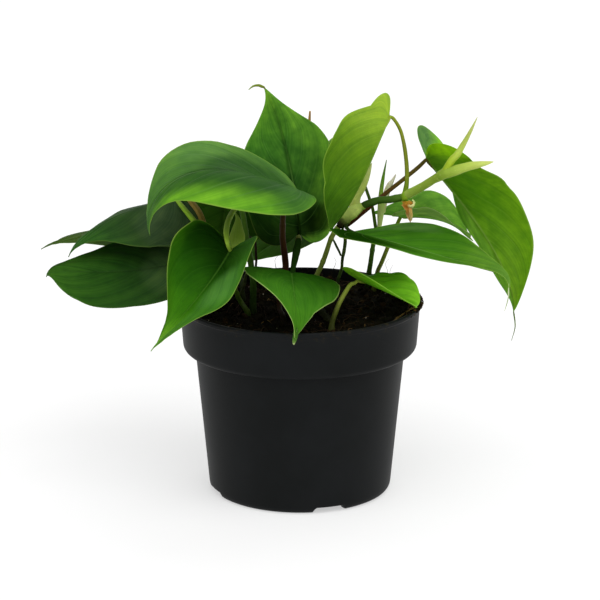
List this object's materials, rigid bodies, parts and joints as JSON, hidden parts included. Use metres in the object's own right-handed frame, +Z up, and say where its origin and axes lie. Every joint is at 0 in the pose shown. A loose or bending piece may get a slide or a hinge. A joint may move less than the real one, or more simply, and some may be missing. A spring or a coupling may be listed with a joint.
{
  "type": "potted philodendron",
  "caption": "Young heart-leaf climbing foliage plant in a round tapered nursery pot with a deep collar: pointed glossy leaves on arching stalks above potting soil.",
  "frame": {"origin": "centre of the pot's flat base, where it rests on a surface", "axes": "+Z up along the pot's axis, +X to the viewer's right and along the plant's greatest width, +Y away from the viewer"},
  "size_m": [0.2468, 0.1489, 0.1993],
  "materials": {
    "pot": "matte",
    "soil": "matte",
    "leaf_mid": "satin",
    "leaf_deep": "satin",
    "leaf_dark": "satin",
    "leaf_olive": "satin",
    "leaf_light": "satin",
    "stem_green": "satin",
    "stalk_light": "satin",
    "stalk_dark": "satin",
    "stalk_brown": "satin",
    "shoot": "satin",
    "sheath_pale": "satin",
    "sheath_dried": "matte",
    "root": "matte",
    "straw": "matte",
    "dead_leaf": "matte"
  },
  "bodies": {
    "root": {"pot": "pot", "soil": "soil", "leaf_01": "leaf_mid", "leaf_02": "leaf_deep", "leaf_03": "leaf_light", "leaf_04": "leaf_dark", "leaf_05": "leaf_olive", "leaf_06": "leaf_deep", "leaf_07": "leaf_deep", "leaf_08": "leaf_mid", "leaf_09": "leaf_mid", "leaf_10": "leaf_dark", "leaf_11": "leaf_dark", "leaf_12": "leaf_dark", "leaf_13": "leaf_light", "leaf_14": "leaf_light", "leaf_15": "leaf_dark", "petiole_15": "stalk_dark", "stem_left": "stem_green", "petiole_09": "stalk_light", "petiole_10": "stalk_light", "petiole_11": "stalk_brown", "petiole_12": "stalk_dark", "petiole_01": "stalk_brown", "stem_back": "stem_green", "petiole_08": "stalk_dark", "petiole_02": "stalk_dark", "petiole_04": "stalk_dark", "leaf_rolled_top": "sheath_dried", "stem_center": "stalk_light", "stem_right": "stem_green", "petiole_03": "stalk_light", "petiole_05": "stalk_brown", "shoot_right": "shoot", "spike_upper": "shoot", "spike_lower": "shoot", "stem_middle": "stem_green", "petiole_14": "stalk_dark", "leaf_rolled_back": "shoot", "petiole_07": "stalk_light", "petiole_13": "stalk_light", "petiole_06": "stalk_dark", "root_a": "root", "root_b": "root", "root_left": "root", "root_thin": "root", "straw": "straw", "tip_02": "stalk_light", "tip_05": "stalk_light", "tip_06": "stalk_light", "node_center": "stalk_brown", "node_left": "stem_green", "node_back": "stem_green", "node_right": "stem_green", "sheath_back": "sheath_pale", "sheath_center": "sheath_pale", "sheath_left": "sheath_pale", "sheath_dried": "sheath_dried", "dead_leaf": "dead_leaf"}
  },
  "joints": []
}
